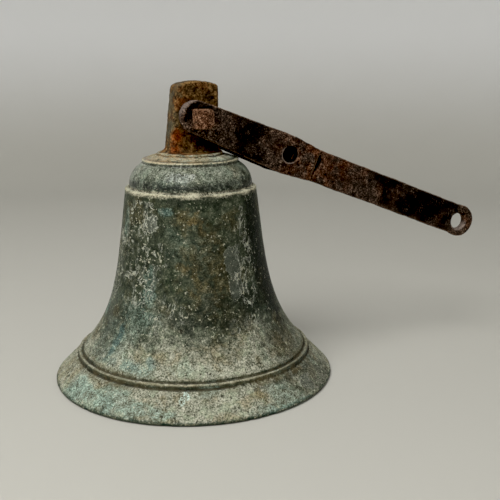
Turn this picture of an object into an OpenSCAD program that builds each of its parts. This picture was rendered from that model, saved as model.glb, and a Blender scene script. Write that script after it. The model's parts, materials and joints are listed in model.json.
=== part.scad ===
// Swing bell: a bronze bell with a cast crown block, a forked iron lever bolted
// through it, and a clapper hung inside from an iron staple.
// Millimetres, +Z up. The origin is the centre of the mouth. The lever lies in the XZ plane
// and points to +X, and the head of its bolt faces -Y.

/* [Bell mouth] */
// Radius of the bell at the widest point of its lip
mouth_r = 113.8; // [100:0.5:130]
// Radius of the rounding under the lip
lip_round = 2.4; // [1:0.1:4]
// Inner radius of the flat rim that the bell stands on
rim_inner_r = 106.5; // [96:0.5:108]

/* [Bell body] */
// Height of the raised bead above the mouth
bead_z = 22.5; // [18:0.5:30]
// Radius of the bell's surface at the bead
bead_surface_r = 93.6; // [88:0.5:98]
// Radius of the bead's own half-round section
bead_round = 1.9; // [0.8:0.1:2.5]
// How far the bead's centre lies under the bell's surface
bead_sunk = 0.6; // [0:0.1:1]
// Radius of the groove on each side of the bead
groove_round = 1.2; // [0.4:0.1:1.5]
// Height from the bead's middle to the middle of each groove
groove_gap = 2; // [1.6:0.1:3]
// How far a groove's centre stands out of the bell's surface
groove_out = 0.2; // [0:0.1:0.3]
// Height of the shoulder, where the waist ends
shoulder_z = 153; // [140:1:165]
// Radius of the waist at the shoulder
shoulder_r = 52.3; // [46:0.5:58]
// Share of the waist's widening that is straight
flare_straight = 0.39; // [0.25:0.01:0.6]
// How sharply the rest of the waist flares towards the mouth
flare_power = 4.4; // [3:0.1:6]
// Thickness of the waist's wall
wall_t = 7; // [5:0.5:9]
// Thickness of the sound bow, which the clapper strikes
bow_t = 16; // [12:0.5:20]
// Height of the thickest part of the sound bow
bow_z = 19; // [14:1:26]
// How far the sound bow's swelling reaches up and down the wall
bow_spread = 17; // [12:1:24]

/* [Crown] */
// Radius of the half-round moulding on the shoulder
ledge_round = 1.9; // [1:0.1:3]
// How far the moulding's centre lies inside the shoulder
ledge_in = 1.7; // [1:0.1:2.2]
// Height of the moulding's centre over the shoulder
ledge_up = 0.8; // [0:0.1:1.2]
// How far the dome's foot stands inside the shoulder
ledge_w = 3.3; // [1:0.1:5]
// Radius of the fine grooves at the dome's foot and under the crown plate
fine_groove = 0.9; // [0.4:0.1:1.1]
// Radius of the dome's quarter-round section
dome_round = 20; // [16:0.5:24]
// Radius of the flat crown plate on the dome
plate_r = 38.4; // [36:0.2:40]
// Height of the crown plate's rim over the dome
plate_rim_h = 2.4; // [2:0.1:4]
// Height of the neck between the dome and the plate's rim
neck_h = 0.8; // [0.4:0.1:1.2]
// How far the neck stands inside the plate's rim
neck_in = 1; // [0.5:0.1:1.6]
// Bevel on both edges of the plate's rim
plate_bevel = 0.4; // [0.2:0.1:0.6]
// Radius of the raised step in the middle of the crown plate
step_r = 26.2; // [25:0.1:33]
// Rise of the plate's sloped top from its rim to the step
plate_rise = 3.6; // [2:0.1:6]
// Height of the step's edge
step_h = 1.4; // [0.6:0.1:2]
// How far the step's edge leans in
step_lean = 0.5; // [0:0.1:1]
// Rise of the crown's top from the step to its middle
crown_camber = 0.8; // [0:0.1:1.5]
// Thickness of the crown over the bell's hollow
crown_t = 9.8; // [8:0.1:14]

/* [Crown block] */
// Reach of the block towards -X at its foot
block_left = 21; // [18:0.5:24]
// Reach of the block towards +X at its foot
block_right = 21; // [18:0.5:24]
// How far the -X end leans in at the top
block_left_draft = 6.3; // [0:0.1:9]
// How far the +X end leans in at the top
block_right_draft = 0.7; // [0:0.1:9]
// Thickness of the block between the lever's tines
block_t = 18; // [14:0.5:22]
// Rounding of the block's upright edges
block_round = 3.6; // [2:0.1:5]
// Height of the block's top above the bolt
block_over_bolt = 27.6; // [22:0.2:34]
// Rise of the block's domed top over its ends
block_dome = 3.6; // [1:0.1:5]
// Reach of the flare round the block's foot
flare_reach = 3.2; // [1:0.1:5]
// Height of the flare round the block's foot
flare_h = 4; // [2:0.1:6]
// Offset of the block and the bolt from the bell's axis
block_shift = 1.6; // [0:0.1:3]

/* [Bolt] */
// Height of the bolt above the mouth
bolt_z = 209.6; // [206:0.2:214]
// Diameter of the bolt
bolt_d = 9.5; // [8:0.5:12.5]
// Width across the bolt's square head
head_w = 15; // [14:0.2:19]
// Height of the bolt's head
head_h = 7.8; // [5:0.1:10]
// How far the forged head sits towards +X from its shank
head_off_x = 1.9; // [-2:0.1:2]
// How far the forged head sits above its shank
head_off_z = -0.4; // [-2:0.1:2]
// Width across the square nut
nut_w = 17; // [14:0.2:20]
// Height of the nut
nut_h = 8; // [6:0.5:10]
// Length of thread that stands out of the nut
thread_out = 5; // [1:0.5:12]
// Diameter of the washer under the nut
washer_d = 24; // [20:0.5:26]
// Thickness of the washer under the nut
washer_t = 2; // [1.5:0.1:3]
// Diameter of the spacers between the block and the tines
spacer_d = 25; // [20:0.5:27]
// Thickness of each spacer
spacer_t = 2.5; // [1.5:0.1:4]

/* [Lever] */
// Slope of the lever below the horizontal, in degrees
lever_slope = 22.2; // [0:0.1:22.5]
// Thickness of the bar and of each tine
bar_t = 8; // [6:0.5:9]
// Width of the bar
bar_w = 26.4; // [20:0.2:30]
// Distance from the bolt to the pivot hole
pivot_s = 83; // [75:0.1:95]
// Distance from the bolt to the rope hole
rope_s = 264.5; // [200:0.5:320]
// Diameter of the pivot hole
pivot_d = 13.4; // [12:0.1:16]
// Depth of the worn bevel at the edge of the pivot hole
pivot_wear = 0.5; // [0.2:0.1:1.2]
// Diameter of the rope hole
rope_d = 14.4; // [12:0.1:18]
// Depth of the worn bevel at each edge of the rope hole
rope_wear = 1.6; // [0.2:0.1:2]
// Radius of the tine's round end at the bolt
eye_r = 12.6; // [12:0.1:15]
// How far the round end's centre lies past the bolt
eye_past = 1.8; // [0:0.1:2.5]
// Depth of the bevel at the tip of the tine's end, fading out beside the bolt
eye_bevel = 2.4; // [0.5:0.1:3]
// Half the width of the swell at the pivot hole
swell_r = 16; // [14:0.1:19]
// Radius of the round end at the rope hole
rope_end_r = 13.9; // [12:0.1:15]
// How far the round end's centre lies past the rope hole
rope_end_past = 1.2; // [0:0.1:3]
// How far the bar's middle line lies above the rope hole
rope_hole_low = 1; // [0:0.1:2]
// How far the lever's middle line lies below the pivot hole
bar_drop = 1; // [0:0.1:2]

/* [Fork] */
// Distance from the pivot hole to the inner face of the fork's bridge
bridge_gap = 15; // [14:0.1:24]
// Length of the sloped lap where the front tine is welded on the bar
lap_l = 12; // [8:0.5:16]
// Height of the small lip that the front tine leaves at the lap's end
lap_lip = 0.8; // [0.4:0.1:1.5]
// Radius inside the bends of the bridge
bend_r = 4; // [2:0.5:7]

/* [Staple and clapper] */
// Diameter of the staple's iron rod
staple_d = 9; // [7:0.5:10]
// Distance between the staple's legs, centre to centre
staple_w = 24; // [20:0.5:30]
// Depth of the staple's legs in the crown
staple_set = 11; // [6:0.5:11]
// Height of the staple's lowest stretch, at the rod's centre
hang_z = 149; // [145:0.5:152]
// Diameter of the clapper eye's rod
eye_rod_d = 8; // [6:0.5:9]
// Radius of the opening in the clapper's eye
eye_open_r = 7.5; // [6.5:0.1:9]
// Diameter of the clapper's shank under its eye
shank_top_d = 8.4; // [7:0.1:10]
// Diameter of the clapper's shank above its ball
shank_low_d = 11; // [9:0.1:13]
// Height of the ball's centre above the mouth
ball_z = 22; // [21:0.5:30]
// Diameter of the ball
ball_d = 32; // [26:0.5:34]
// Diameter of the shank's end through the ball
spigot_d = 8; // [6:0.5:10]
// Diameter of the shank's collar, which seats on the ball
collar_d = 14; // [12:0.5:16]
// Height of the riveted end under the ball
rivet_h = 3; // [2:0.2:4]

/* [Clearances] */
// Running clearance round the bolt
bolt_play = 0.08; // [0.02:0.01:0.1]
// Gap between each side of a tine and its neighbour on the bolt
side_play = 0.1; // [0.1:0.05:0.3]
// Clearance round a rod that is set into a casting
set_play = 0.08; // [0.02:0.01:0.1]
// Gap between the clapper's eye and the staple
hang_play = 0.3; // [0.2:0.05:0.6]

/* [Hidden] */

// Roundness of turned and drilled faces
$fn = 96;
// Roundness of the corners inside a hull
hull_fn = 28;
// Steps along each curved stretch of the bell's profile
profile_steps = 22;
// Length by which a cutting shape overshoots what it cuts
over = 1;
// Depth to which a straight edge runs into the arc that it joins
bite = 0.05;

bronze = [0.36, 0.40, 0.34];
iron = [0.24, 0.15, 0.11];
rust = [0.55, 0.36, 0.26];

// Heights of the crown, from the shoulder up
dome_z = shoulder_z + 2 * ledge_round;
dome_foot_r = shoulder_r - ledge_w;
dome_centre_r = dome_foot_r - dome_round;
neck_r = plate_r - neck_in;
dome_end = acos((neck_r - dome_centre_r) / dome_round);
plate_z = dome_z + dome_round * sin(dome_end);
plate_edge_z = plate_z + plate_rim_h;
step_z = plate_edge_z + plate_rise;
crown_top_z = step_z + step_h;
hollow_top_z = plate_edge_z - crown_t;

// Places across the lever's fork, measured from the block's middle plane
tine_in = block_t / 2 + spacer_t + side_play;
tine_out = tine_in + bar_t;
bar_front = tine_out - lap_lip;
bridge_s = pivot_s + bridge_gap;
lap_s = bridge_s + lap_l - 2;
lever_reach = rope_s + rope_end_past + rope_end_r;
eye_end = eye_past + eye_r + over;

// Heights of the clapper, from the staple down
bolt_hole_r = bolt_d / 2 + bolt_play;
ring_r = eye_open_r + eye_rod_d / 2;
ring_z = hang_z + staple_d / 2 + hang_play - eye_open_r;
collar_h = 4;
ball_flat_z = sqrt(pow(ball_d / 2, 2) - pow(collar_d / 2 + 0.6, 2));
hollow_round = 20;

// Drop below the shoulder as a share of the waist's height
function fall(z) = (shoulder_z - z) / (shoulder_z - bead_z);

// Radius of the waist's outside at a height
function waist_r(z) = shoulder_r + (bead_surface_r - shoulder_r)
    * (flare_straight * fall(z) + (1 - flare_straight) * pow(fall(z), flare_power));

// Radius of the lip's sloped outside at a height
function lip_r(z) = mouth_r + (bead_surface_r - mouth_r) * (z - lip_round) / (bead_z - lip_round);

// Radius of the whole outside at a height
function outer_r(z) = z < bead_z ? lip_r(max(z, lip_round)) : waist_r(z);

// Thickness of the wall at a height, measured level
function thickness(z) = wall_t + (bow_t - wall_t) * exp(-pow((z - bow_z) / bow_spread, 2));

// Points along an arc, from one angle to another
function arc(cx, cy, r, a0, a1, steps) =
    [for (i = [0:steps]) let (a = a0 + (a1 - a0) * i / steps) [cx + r * cos(a), cy + r * sin(a)]];

// Half of the bell's section, without its beads and grooves
module bell_section() {
    inner_foot_z = 6;
    inner_top_z = hollow_top_z - hollow_round;
    inner_top_r = outer_r(inner_top_z) - wall_t;
    polygon(concat(
        [[rim_inner_r, 0]],
        arc(mouth_r - lip_round, lip_round, lip_round, -90, 0, 6),
        [for (i = [0:profile_steps]) let (z = bead_z + (shoulder_z - bead_z) * i / profile_steps)
            [waist_r(z), z]],
        [[dome_foot_r, shoulder_z + ledge_round]],
        arc(dome_centre_r, dome_z, dome_round, 0, dome_end, 12),
        [[neck_r, plate_z + neck_h], [plate_r, plate_z + neck_h + plate_bevel],
            [plate_r, plate_edge_z - plate_bevel], [plate_r - plate_bevel, plate_edge_z],
            [step_r, step_z], [step_r - step_lean, crown_top_z], [0, crown_top_z + crown_camber],
            [0, hollow_top_z]],
        arc(inner_top_r - hollow_round, inner_top_z, hollow_round, 90, 0, 8),
        [for (i = [1:profile_steps]) let (z = inner_top_z + (inner_foot_z - inner_top_z) * i / profile_steps)
            [outer_r(z) - thickness(z), z]]
    ));
}

// Raised beads and sunk grooves on the bell's outside
module bell_mouldings() {
    difference() {
        union() {
            bell_section();
            translate([bead_surface_r - bead_sunk, bead_z]) circle(bead_round, $fn = 24);
            translate([shoulder_r - ledge_in, shoulder_z + ledge_up]) circle(ledge_round, $fn = 32);
        }
        for (z = [bead_z - groove_gap, bead_z + groove_gap])
            translate([outer_r(z) + groove_out, z]) circle(groove_round, $fn = 24);
        translate([dome_foot_r + fine_groove / 2, dome_z]) circle(fine_groove, $fn = 24);
        translate([neck_r, plate_z]) circle(fine_groove, $fn = 24);
    }
}

// Outline of the block seen from the front: leaning ends and a domed top that rounds into them
module block_front() {
    left = block_left_draft - block_left;
    right = block_right - block_right_draft;
    half = (right - left) / 2;
    dome_r = (half * half + block_dome * block_dome) / (2 * block_dome);
    dome_x = (left + right) / 2;
    dome_cz = bolt_z + block_over_bolt - dome_r;
    corner_x = half - block_round;
    corner_z = dome_cz + sqrt(pow(dome_r - block_round, 2) - corner_x * corner_x);
    turn = acos(corner_x / (dome_r - block_round));
    polygon(concat(
        [[-block_left, step_z], [block_right, step_z]],
        arc(dome_x + corner_x, corner_z, block_round, 0, turn, 5),
        arc(dome_x, dome_cz, dome_r, turn + 2, 178 - turn, 14),
        arc(dome_x - corner_x, corner_z, block_round, 180 - turn, 180, 5)
    ));
}

// Cutter that rounds one upright edge of the block, leaning with its end
module upright_round(x, end, side, draft) {
    lean = atan(draft / (bolt_z + block_over_bolt - step_z));
    translate([x, side * block_t / 2, step_z]) rotate([0, -end * lean, 0])
        translate([0, 0, -over]) linear_extrude(bolt_z + block_over_bolt - step_z + 3 * over) difference() {
            translate([-end * (end > 0 ? block_round : 0) - (end > 0 ? 0 : over), side > 0 ? -block_round : -over])
                square(block_round + over);
            translate([-end * block_round, -side * block_round]) circle(block_round);
        }
}

// Slab whose outline is the block's foot grown by a margin
module foot_slab(z, spread) {
    for (x = [block_round - block_left - spread, block_right - block_round + spread], side = [-1, 1])
        translate([x, side * (block_t / 2 - block_round + spread), z])
            cylinder(r = block_round, h = bite, $fn = hull_fn);
}

// Cast block on the crown, with a flare round its foot
module crown_block() {
    translate([block_shift, 0, 0]) {
        difference() {
            translate([0, block_t / 2, 0]) rotate([90, 0, 0]) linear_extrude(block_t) block_front();
            for (side = [-1, 1]) {
                upright_round(-block_left, -1, side, block_left_draft);
                upright_round(block_right, 1, side, block_right_draft);
            }
        }
    }
    intersection() {
        translate([block_shift, 0, 0]) hull() {
            foot_slab(step_z, flare_reach);
            foot_slab(step_z + flare_h, -bite);
        }
        translate([0, 0, step_z - over]) cylinder(r = step_r - step_lean, h = step_h + flare_h + 2 * over);
    }
}

module bell_casting() {
    color(bronze) difference() {
        union() {
            rotate_extrude() bell_mouldings();
            crown_block();
        }
        translate([block_shift, 0, bolt_z]) rotate([90, 0, 0])
            cylinder(r = bolt_hole_r, h = block_t + 2 * over, center = true);
        for (side = [-1, 1])
            translate([0, side * staple_w / 2, hollow_top_z - over])
                cylinder(d = staple_d + 2 * set_play, h = staple_set + over + set_play);
    }
}

// U-shaped staple, its legs set into the crown
module crown_staple() {
    bend_z = hang_z + staple_w / 2;
    color(iron) {
        translate([0, 0, bend_z]) rotate([0, 90, 0]) rotate([0, 0, -90])
            rotate_extrude(angle = 180) translate([staple_w / 2, 0]) circle(d = staple_d, $fn = 48);
        for (side = [-1, 1])
            translate([0, side * staple_w / 2, bend_z])
                cylinder(d = staple_d, h = hollow_top_z + staple_set - bend_z, $fn = 48);
    }
}

// Forged shank: an eye on top, a collar over the ball and a riveted end below it
module clapper_shank() {
    collar_z = ball_z + ball_flat_z;
    color(iron) union() {
        translate([0, 0, ring_z]) rotate([90, 0, 0])
            rotate_extrude() translate([ring_r, 0]) circle(d = eye_rod_d, $fn = 48);
        translate([0, 0, collar_z + collar_h])
            cylinder(d1 = shank_low_d, d2 = shank_top_d, h = ring_z - ring_r - collar_z - collar_h);
        translate([0, 0, collar_z]) cylinder(d1 = collar_d, d2 = shank_low_d, h = collar_h);
        translate([0, 0, ball_z - ball_flat_z - over])
            cylinder(d = spigot_d, h = 2 * ball_flat_z + 2 * over);
        translate([0, 0, ball_z - ball_flat_z - rivet_h])
            cylinder(d1 = spigot_d, d2 = collar_d, h = rivet_h);
    }
}

module clapper_ball() {
    color(iron) translate([0, 0, ball_z]) difference() {
        intersection() {
            sphere(d = ball_d);
            cube([ball_d + over, ball_d + over, 2 * ball_flat_z], center = true);
        }
        cylinder(d = spigot_d + 2 * set_play, h = ball_d + over, center = true);
    }
}

// Puts a shape drawn along the lever into its place on the bolt
module on_lever() {
    translate([block_shift, 0, bolt_z]) rotate([0, lever_slope, 0]) children();
}

// Stands a flat outline, drawn with the lever's length along X, upright between two depths
module across(y0, y1) {
    translate([0, y1, 0]) rotate([90, 0, 0]) linear_extrude(y1 - y0) children();
}

// Point on a first circle where the line that also touches a second circle leaves it, on one
// side. A radius of 0 makes the second circle a point
function touch(at, r, next, next_r, side) =
    let (way = next - at, turn = atan2(way[1], way[0]) + side * acos((r - next_r) / norm(way)))
    at + r * [cos(turn), sin(turn)];

// Outline of a tine: round at the bolt, swelling to the pivot hole and down to the bar's width
module tine_outline() {
    eye = [-eye_past, 0];
    swell = [pivot_s, -bar_drop];
    er = eye_r - bite;
    sr = swell_r - bite;
    low = [lap_s, -bar_w / 2 - bar_drop];
    high = [lap_s, bar_w / 2 - bar_drop];
    translate(eye) circle(eye_r);
    translate(swell) circle(swell_r);
    polygon([
        touch(eye, er, swell, sr, -1), touch(swell, sr, eye, er, 1),
        touch(swell, sr, low, 0, -1), low, high, touch(swell, sr, high, 0, 1),
        touch(swell, sr, eye, er, -1), touch(eye, er, swell, sr, 1)
    ]);
}

// Outline of the plain bar, from the fork to its round end at the rope hole
module bar_outline() {
    end_s = rope_s + rope_end_past;
    polygon([
        [bridge_s, -bar_w / 2 - bar_drop], [end_s, -bar_w / 2 + rope_hole_low],
        [end_s, bar_w / 2 + rope_hole_low], [bridge_s, bar_w / 2 - bar_drop]
    ]);
    translate([end_s, rope_hole_low]) circle(rope_end_r);
}

// A bored hole across the lever with a worn bevel at both faces
module worn_hole(s, d, wear, y0, y1) {
    translate([s, 0, 0]) {
        translate([0, y1 + over, 0]) rotate([90, 0, 0]) cylinder(d = d, h = y1 - y0 + 2 * over);
        translate([0, y0, 0]) rotate([-90, 0, 0])
            cylinder(d1 = d + 2 * wear, d2 = d, h = wear);
        translate([0, y1, 0]) rotate([90, 0, 0])
            cylinder(d1 = d + 2 * wear, d2 = d, h = wear);
    }
}

// Ring that bevels a tine's round end on the side away from the block. It tilts, so that the
// bevel is deepest at the tip and fades out beside the bolt
module eye_bevel_cut(side) {
    tilt = atan(eye_bevel / eye_r);
    depth = 2 * eye_bevel + over;
    rotate([side * 90, 0, 0]) translate([-eye_past, 0, tine_out + bite]) rotate([0, -tilt, 0]) difference() {
        cylinder(r = eye_r + 2 * over, h = depth);
        translate([0, 0, -over]) cylinder(r1 = eye_r + over + bite, r2 = eye_r + bite - depth, h = depth + over);
    }
}

// Plan of the welded lap, which both of its pieces share: the front tine's thinned end
module lap_plan(reach) {
    polygon([
        [-reach, -tine_out], [lap_s, -tine_out], [lap_s, -bar_front],
        [lap_s - lap_l, -tine_in], [-reach, -tine_in]
    ]);
}

// Rounds the inside of a corner at a point, towards the quarter that the signs name
module fillet(x, y, sx, sy, r) {
    translate([x, y]) difference() {
        translate([sx > 0 ? 0 : -r, sy > 0 ? 0 : -r]) square(r);
        translate([sx * r, sy * r]) circle(r);
    }
}

// Plan of the bar: straight from the rope hole, bridged across the fork and back as the rear tine
module bar_plan() {
    bridge_out = bridge_s + bar_t;
    bar_back = bar_front - bar_t;
    difference() {
        union() {
            translate([lap_s - lap_l, -bar_front]) square([lever_reach - lap_s + lap_l + over, bar_t]);
            translate([bridge_s, -bar_front + over]) square([bar_t, tine_out + bar_front - over]);
            translate([-eye_end, tine_in]) square([bridge_s + eye_end + bar_t / 2, bar_t]);
            fillet(bridge_out, -bar_back, 1, 1, bend_r);
            fillet(bridge_s, tine_in, -1, -1, bend_r);
        }
        lap_plan(eye_end + over);
        translate([bridge_s - lap_l - over, -tine_in - bar_t - over]) square([lap_l + over, bar_t + over]);
        fillet(bridge_out, tine_out, -1, -1, bend_r + bar_t / 2);
    }
}

module lever_bar() {
    color(iron) on_lever() difference() {
        intersection() {
            across(-tine_out, tine_out) union() {
                tine_outline();
                bar_outline();
            }
            translate([0, 0, -swell_r - bar_drop - over])
                linear_extrude(2 * (swell_r + over) + bar_drop) bar_plan();
        }
        rotate([90, 0, 0]) cylinder(r = bolt_hole_r, h = 2 * tine_out + over, center = true);
        worn_hole(pivot_s, pivot_d, pivot_wear, tine_in, tine_out);
        worn_hole(rope_s, rope_d, rope_wear, -bar_front, -bar_front + bar_t);
        eye_bevel_cut(-1);
    }
}

module front_tine() {
    color(iron) on_lever() difference() {
        intersection() {
            across(-tine_out, -tine_in) tine_outline();
            translate([0, 0, -swell_r - bar_drop - over])
                linear_extrude(2 * (swell_r + over) + bar_drop) lap_plan(eye_end);
        }
        rotate([90, 0, 0]) cylinder(r = bolt_hole_r, h = 2 * tine_out + over, center = true);
        worn_hole(pivot_s, pivot_d, pivot_wear, -tine_out, -tine_in);
        eye_bevel_cut(1);
    }
}

// Flat ring on the bolt, lying between two depths
module bolt_ring(d, y0, y1) {
    translate([block_shift, y1, bolt_z]) rotate([90, 0, 0]) difference() {
        cylinder(d = d, h = y1 - y0);
        translate([0, 0, -over]) cylinder(r = bolt_hole_r, h = y1 - y0 + 2 * over);
    }
}

module front_spacer() {
    color(iron) bolt_ring(spacer_d, -block_t / 2 - spacer_t, -block_t / 2);
}

module rear_spacer() {
    color(iron) bolt_ring(spacer_d, block_t / 2, block_t / 2 + spacer_t);
}

module nut_washer() {
    color(iron) bolt_ring(washer_d, tine_out + side_play, tine_out + side_play + washer_t);
}

// Square head or nut with its corners turned down, standing up from the origin
module square_head(w, h) {
    corner_r = 0.6 * w;
    corner_slope = 0.8;
    intersection() {
        translate([-w / 2, -w / 2, 0]) cube([w, w, h]);
        cylinder(r1 = corner_r + h * corner_slope, r2 = corner_r, h = h);
    }
}

module pivot_bolt() {
    head_y = tine_out + side_play;
    end_y = tine_out + side_play + washer_t + nut_h + thread_out;
    end_bevel = 1;
    color(rust) translate([block_shift, 0, bolt_z]) rotate([90, 0, 0]) union() {
        translate([head_off_x, head_off_z, head_y]) square_head(head_w, head_h);
        translate([0, 0, end_bevel - end_y]) cylinder(d = bolt_d, h = head_y + end_y - end_bevel + over);
        translate([0, 0, -end_y]) cylinder(d1 = bolt_d - 2 * end_bevel, d2 = bolt_d, h = end_bevel);
    }
}

module square_nut() {
    color(rust) translate([block_shift, tine_out + side_play + washer_t, bolt_z]) rotate([-90, 0, 0])
        difference() {
            square_head(nut_w, nut_h);
            translate([0, 0, -over]) cylinder(r = bolt_hole_r, h = nut_h + 2 * over);
        }
}

bell_casting();
crown_staple();
clapper_shank();
clapper_ball();
lever_bar();
front_tine();
front_spacer();
rear_spacer();
pivot_bolt();
nut_washer();
square_nut();
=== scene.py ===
"""A weathered bronze swing bell with a rusted iron lever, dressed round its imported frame.

Metres, +Z up. The mouth's centre is the origin, the lever points to +X, and the bolt's head
faces -Y. Each CAD node is rebuilt as a fine even mesh, worn by smooth noise and by the marks
named below, and painted by its own procedural material.
"""

import json
import math

import bmesh
import bpy
import numpy as np
from mathutils import Matrix, Vector, noise


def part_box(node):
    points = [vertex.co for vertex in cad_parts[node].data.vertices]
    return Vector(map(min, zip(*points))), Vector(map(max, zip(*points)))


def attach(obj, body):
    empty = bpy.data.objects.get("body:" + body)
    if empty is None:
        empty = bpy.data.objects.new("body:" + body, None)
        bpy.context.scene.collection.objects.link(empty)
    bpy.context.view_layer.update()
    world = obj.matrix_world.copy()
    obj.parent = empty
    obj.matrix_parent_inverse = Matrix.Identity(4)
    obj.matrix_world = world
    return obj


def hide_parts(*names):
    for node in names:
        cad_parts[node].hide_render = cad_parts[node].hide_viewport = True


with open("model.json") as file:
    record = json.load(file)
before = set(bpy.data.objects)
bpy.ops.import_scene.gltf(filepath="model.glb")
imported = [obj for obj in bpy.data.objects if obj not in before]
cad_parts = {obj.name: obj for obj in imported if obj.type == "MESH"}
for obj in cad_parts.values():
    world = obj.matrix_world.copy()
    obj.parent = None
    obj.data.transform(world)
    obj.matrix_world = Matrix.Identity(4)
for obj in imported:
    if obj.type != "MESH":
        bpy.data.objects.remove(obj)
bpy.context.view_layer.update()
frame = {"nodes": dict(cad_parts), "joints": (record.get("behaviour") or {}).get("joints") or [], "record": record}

MM = 0.001
WELD = 1e-6
# How far each point of a mesh stands out: what counts as a sharp edge, as a share of the mesh's
# spacing, and the passes that smooth the measure
SHARP_LEAN = 0.2
BULGE_PASSES = 3

# Places of the lever and the bolt, worked out from the joints, the mounts and the nodes
joints = {j["name"]: j for j in frame["joints"]}
mounts = {m["name"]: m for m in frame["record"]["mounts"]}
bolt = np.array(joints["lever_swing"]["pos_m"])
pivot_hole = np.array(mounts["lever_pivot"]["pos_m"])
rope_hole = np.array(mounts["rope_eye"]["pos_m"])
along = (pivot_hole - bolt) / np.linalg.norm(pivot_hole - bolt)
upright = np.array([-along[2], 0.0, along[0]])
PIVOT_S = float((pivot_hole - bolt) @ along)
ROPE_S = float((rope_hole - bolt) @ along)
PIVOT_R = mounts["lever_pivot"]["dims"]["r_mm"] * MM
ROPE_R = mounts["rope_eye"]["dims"]["r_mm"] * MM
LEVER_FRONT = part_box("front_tine")[0].y
FORK_HALF = -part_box("front_tine")[1].y
LAP_S = max((np.array(v.co) - bolt) @ along for v in frame["nodes"]["front_tine"].data.vertices)


# Shapes

def even_copy(name, node, voxel):
    """A new object with an even fine mesh of a CAD node's solid."""
    shape = bmesh.new()
    shape.from_mesh(frame["nodes"][node].data)
    bmesh.ops.remove_doubles(shape, verts=shape.verts, dist=WELD)
    data = bpy.data.meshes.new(name)
    shape.to_mesh(data)
    shape.free()
    piece = bpy.data.objects.new(name, data)
    bpy.context.scene.collection.objects.link(piece)
    remesh = piece.modifiers.new("even", "REMESH")
    remesh.mode = "VOXEL"
    remesh.voxel_size = voxel
    made = piece.evaluated_get(bpy.context.evaluated_depsgraph_get())
    even = bpy.data.meshes.new_from_object(made)
    piece.modifiers.clear()
    piece.data = even
    even.name = name
    return piece


def points_of(mesh):
    co = np.empty(len(mesh.vertices) * 3)
    mesh.vertices.foreach_get("co", co)
    return co.reshape(-1, 3)


def normals_of(mesh):
    found = np.empty(len(mesh.vertices) * 3)
    mesh.vertex_normals.foreach_get("vector", found)
    return found.reshape(-1, 3)


def edges_of(mesh):
    ends = np.empty(len(mesh.edges) * 2, np.int64)
    mesh.edges.foreach_get("vertices", ends)
    return ends.reshape(-1, 2)


def place(mesh, co):
    mesh.vertices.foreach_set("co", co.ravel())
    mesh.update()


def neighbour_mean(values, edges):
    """Mean of each point's neighbours, for one or more columns of values."""
    a, b = edges.T
    count = np.bincount(edges.ravel(), minlength=len(values))
    columns = values.reshape(len(values), -1)
    size = len(values)
    total = [np.bincount(a, c[b], size) + np.bincount(b, c[a], size) for c in columns.T]
    return (np.stack(total, 1) / count[:, None]).reshape(values.shape)


def relax(co, edges, passes):
    """Rounds a mesh, each pass moving every point halfway to the mean of its neighbours."""
    for _ in range(passes):
        co = co + 0.5 * (neighbour_mean(co, edges) - co)
    return co


def bulge_of(mesh):
    """About 1 on a sharp edge, 0 on a flat face and -1 in a sharp groove."""
    co, edges = points_of(mesh), edges_of(mesh)
    lean = ((co - neighbour_mean(co, edges)) * normals_of(mesh)).sum(1)
    length = np.linalg.norm(co[edges[:, 0]] - co[edges[:, 1]], axis=1).mean()
    value = lean / (SHARP_LEAN * length)
    for _ in range(BULGE_PASSES):
        value = 0.5 * value + 0.5 * neighbour_mean(value, edges)
    return np.clip(value, -1, 1)


def hills(co, size, octaves=1, seed=0):
    """Smooth noise, mostly from -0.6 to 0.6, whose bumps have that size in metres.

    Each use has its own seed, so that no two noises match.
    """
    shift = np.array([7.31, 3.17, -5.53]) * (seed + 1)
    return np.array([noise.fractal(p, 1.0, 2.1, octaves) for p in (co / size + shift).tolist()])


def step(value, low, high):
    """0 at or below low, 1 at or above high, smooth between."""
    t = np.clip((value - low) / (high - low), 0, 1)
    return t * t * (3 - 2 * t)


def keep_mask(mesh, name, values):
    layer = mesh.attributes.new(name, "FLOAT", "POINT")
    layer.data.foreach_set("value", np.asarray(values, np.float32))


# Marks on the bell, as azimuth from the front towards +X in degrees, height, half width and half
# height in millimetres, and strength
TEAL_MARKS = [
    (-39.5, 143, 7, 3.5, 0.55), (-50, 92, 5, 9, 0.6), (-50, 80, 6, 9, 0.7), (-83, 130, 5, 12, 0.6),
    (-67, 50, 4, 9, 0.9), (-69, 42, 5, 9, 0.9), (-70, 35, 4, 7, 0.7), (-54, 31, 9, 5, 0.6),
    (-55, 12, 16, 8, 0.8), (-43, 8, 15, 6, 0.9), (-32, 7, 12, 4, 0.9), (-46, 29, 12, 4, 0.7),
    (9, 5, 12, 3, 0.6), (22, 2.5, 22, 2, 0.8), (-75, 10, 16, 8, 0.6), (140, 9, 20, 6, 0.7),
    (230, 12, 18, 7, 0.7), (-74, 42, 24, 16, 0.5), (-25, 33, 10, 5, 0.35), (-58, 62, 18, 14, 0.4),
]
SEA_MARKS = [
    (-67, 48, 3.2, 9, 1.0), (-69, 38, 3.5, 7, 0.9), (-52, 30.5, 12, 3, 0.5), (-66, 30.5, 8, 2.5, 0.4),
    (-39.5, 144.6, 4, 1.4, 0.4), (-36.5, 142.2, 4, 1.4, 0.4), (-41, 35, 4, 4, 0.7),
    (160, 34, 10, 4, 0.8), (262, 60, 4, 9, 0.8),
]
BRIGHT_MARKS = [(-21.8, 18, 2.8, 2.8, 1.0), (-23.6, 15, 2.4, 2.6, 1.0)]
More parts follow.
